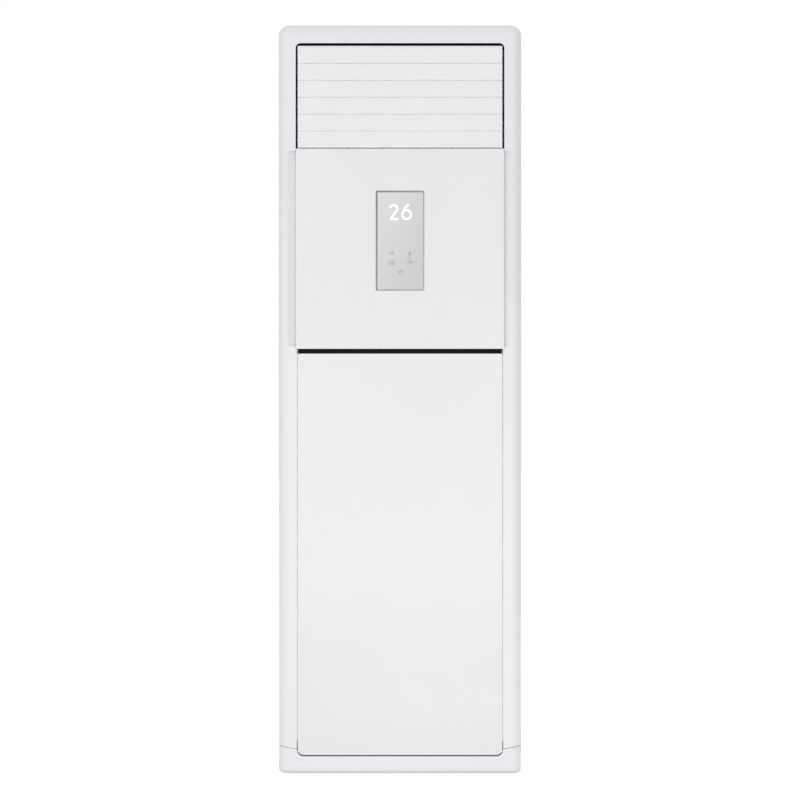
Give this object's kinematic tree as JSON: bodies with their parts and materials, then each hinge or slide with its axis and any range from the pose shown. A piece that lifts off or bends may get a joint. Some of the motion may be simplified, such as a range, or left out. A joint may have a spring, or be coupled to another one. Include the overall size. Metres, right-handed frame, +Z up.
{
  "type": "floor standing air conditioner",
  "caption": "Tall floor standing air conditioner cabinet with closed outlet louvres, a middle panel with a display window, a finger slot and a tilting lower front panel.",
  "frame": {"origin": "middle of the cabinet's footprint, on the floor that the four feet stand on", "axes": "+X to the right as seen from the front, +Y from the front to the rear, +Z up"},
  "size_m": [0.6, 0.39, 1.85],
  "materials": {
    "frame_white": "satin",
    "panel_white": "gloss",
    "louvre_white": "satin",
    "display_plate": "gloss",
    "trim_black": "gloss",
    "painted_sheet": "satin",
    "galvanised_sheet": "satin",
    "duct_black": "matte",
    "motor_housing": "satin",
    "fan_motor_steel": "satin",
    "wheel_plastic": "matte",
    "steel_bright": "polished",
    "coil_aluminium": "satin",
    "copper": "satin",
    "nut_brass": "satin",
    "hose_grey": "matte",
    "rubber_black": "matte",
    "grille_white": "matte",
    "filter_net": "matte",
    "board_green": "satin",
    "terminal_cream": "satin",
    "foam_grey": "matte",
    "magnet_black": "matte",
    "seal_pale": "matte"
  },
  "bodies": {
    "cabinet": {"base_pan": "galvanised_sheet", "cabinet_screws": "steel_bright", "control_box": "galvanised_sheet", "control_box_lid": "galvanised_sheet", "display_board": "board_green", "display_window": "display_plate", "door_hinge_pins": "steel_bright", "door_magnets": "magnet_black", "door_seals": "seal_pale", "drain_hose": "hose_grey", "drain_pan": "galvanised_sheet", "evaporator_core": "coil_aluminium", "evaporator_end_plates": "galvanised_sheet", "fan_deck": "galvanised_sheet", "fan_motor": "fan_motor_steel", "filter_frame": "grille_white", "filter_mesh": "filter_net", "flare_nuts": "nut_brass", "front_frame": "frame_white", "inner_liner": "foam_grey", "intake_grille": "grille_white", "left_side_panel": "painted_sheet", "levelling_feet": "rubber_black", "main_board": "board_green", "middle_panel": "panel_white", "motor_bracket": "galvanised_sheet", "outlet_duct": "duct_black", "pipe_grommet": "rubber_black", "plinth_cover": "frame_white", "rear_panel": "painted_sheet", "refrigerant_pipes": "copper", "return_bends": "copper", "right_side_panel": "painted_sheet", "scroll_casing": "galvanised_sheet", "scroll_front": "galvanised_sheet", "slot_trim": "trim_black", "stepper_motors": "motor_housing", "terminal_block": "terminal_cream", "top_cover": "frame_white", "wall_bracket": "galvanised_sheet"},
    "fan": {"blower_wheel": "wheel_plastic", "wheel_blades": "wheel_plastic", "motor_shaft": "steel_bright", "wheel_nut": "steel_bright"},
    "door": {"lower_panel": "panel_white", "strike_plates": "steel_bright"},
    "louvre_1": {"louvre_1": "louvre_white"},
    "louvre_2": {"louvre_2": "louvre_white"},
    "louvre_3": {"louvre_3": "louvre_white"},
    "louvre_4": {"louvre_4": "louvre_white"},
    "louvre_5": {"louvre_5": "louvre_white"},
    "louvre_6": {"louvre_6": "louvre_white"},
    "louvre_link": {"louvre_link": "duct_black"},
    "vane_1": {"vane_1": "duct_black"},
    "vane_2": {"vane_2": "duct_black"},
    "vane_3": {"vane_3": "duct_black"},
    "vane_4": {"vane_4": "duct_black"},
    "vane_5": {"vane_5": "duct_black"},
    "vane_6": {"vane_6": "duct_black"},
    "vane_link": {"vane_link": "duct_black"}
  },
  "joints": [
    {"name": "fan_spin", "type": "hinge", "parent": "cabinet", "child": "fan", "pos_m": [0, 0, 0.48], "axis": [0, -1, 0], "continuous": true},
    {"name": "door_tilt", "type": "hinge", "parent": "cabinet", "child": "door", "pos_m": [0, -0.188, 0.055], "axis": [1, 0, 0], "range_deg": [0, 30]},
    {"name": "louvre_swing", "type": "hinge", "parent": "cabinet", "child": "louvre_1", "pos_m": [0, -0.182, 1.7748], "axis": [-1, 0, 0], "range_deg": [0, 100]},
    {"name": "louvre_swing_2", "type": "hinge", "parent": "cabinet", "child": "louvre_2", "pos_m": [0, -0.182, 1.733], "axis": [-1, 0, 0], "range_deg": [0, 100]},
    {"name": "louvre_swing_3", "type": "hinge", "parent": "cabinet", "child": "louvre_3", "pos_m": [0, -0.182, 1.6912], "axis": [-1, 0, 0], "range_deg": [0, 100]},
    {"name": "louvre_swing_4", "type": "hinge", "parent": "cabinet", "child": "louvre_4", "pos_m": [0, -0.182, 1.6494], "axis": [-1, 0, 0], "range_deg": [0, 100]},
    {"name": "louvre_swing_5", "type": "hinge", "parent": "cabinet", "child": "louvre_5", "pos_m": [0, -0.182, 1.6076], "axis": [-1, 0, 0], "range_deg": [0, 100]},
    {"name": "louvre_swing_6", "type": "hinge", "parent": "cabinet", "child": "louvre_6", "pos_m": [0, -0.182, 1.5658], "axis": [-1, 0, 0], "range_deg": [0, 100]},
    {"name": "louvre_link_turn", "type": "hinge", "parent": "louvre_1", "child": "louvre_link", "pos_m": [-0.257, -0.173, 1.78553], "axis": [-1, 0, 0], "range_deg": [-100, 0]},
    {"name": "vane_swing", "type": "hinge", "parent": "cabinet", "child": "vane_1", "pos_m": [-0.215, -0.12, 1.6735], "axis": [0, 0, 1], "range_deg": [-35, 35]},
    {"name": "vane_swing_2", "type": "hinge", "parent": "cabinet", "child": "vane_2", "pos_m": [-0.129, -0.12, 1.6735], "axis": [0, 0, 1], "range_deg": [-35, 35]},
    {"name": "vane_swing_3", "type": "hinge", "parent": "cabinet", "child": "vane_3", "pos_m": [-0.043, -0.12, 1.6735], "axis": [0, 0, 1], "range_deg": [-35, 35]},
    {"name": "vane_swing_4", "type": "hinge", "parent": "cabinet", "child": "vane_4", "pos_m": [0.043, -0.12, 1.6735], "axis": [0, 0, 1], "range_deg": [-35, 35]},
    {"name": "vane_swing_5", "type": "hinge", "parent": "cabinet", "child": "vane_5", "pos_m": [0.129, -0.12, 1.6735], "axis": [0, 0, 1], "range_deg": [-35, 35]},
    {"name": "vane_swing_6", "type": "hinge", "parent": "cabinet", "child": "vane_6", "pos_m": [0.215, -0.12, 1.6735], "axis": [0, 0, 1], "range_deg": [-35, 35]},
    {"name": "vane_link_turn", "type": "hinge", "parent": "vane_1", "child": "vane_link", "pos_m": [-0.215, -0.092, 1.6735], "axis": [0, 0, 1], "range_deg": [-35, 35]}
  ],
  "couplings": [
    {"joint": "louvre_swing_2", "follows": "louvre_swing", "ratio": 1},
    {"joint": "louvre_swing_3", "follows": "louvre_swing", "ratio": 1},
    {"joint": "louvre_swing_4", "follows": "louvre_swing", "ratio": 1},
    {"joint": "louvre_swing_5", "follows": "louvre_swing", "ratio": 1},
    {"joint": "louvre_swing_6", "follows": "louvre_swing", "ratio": 1},
    {"joint": "louvre_link_turn", "follows": "louvre_swing", "ratio": -1},
    {"joint": "vane_swing_2", "follows": "vane_swing", "ratio": 1},
    {"joint": "vane_swing_3", "follows": "vane_swing", "ratio": 1},
    {"joint": "vane_swing_4", "follows": "vane_swing", "ratio": 1},
    {"joint": "vane_swing_5", "follows": "vane_swing", "ratio": 1},
    {"joint": "vane_swing_6", "follows": "vane_swing", "ratio": 1},
    {"joint": "vane_link_turn", "follows": "vane_swing", "ratio": -1}
  ]
}
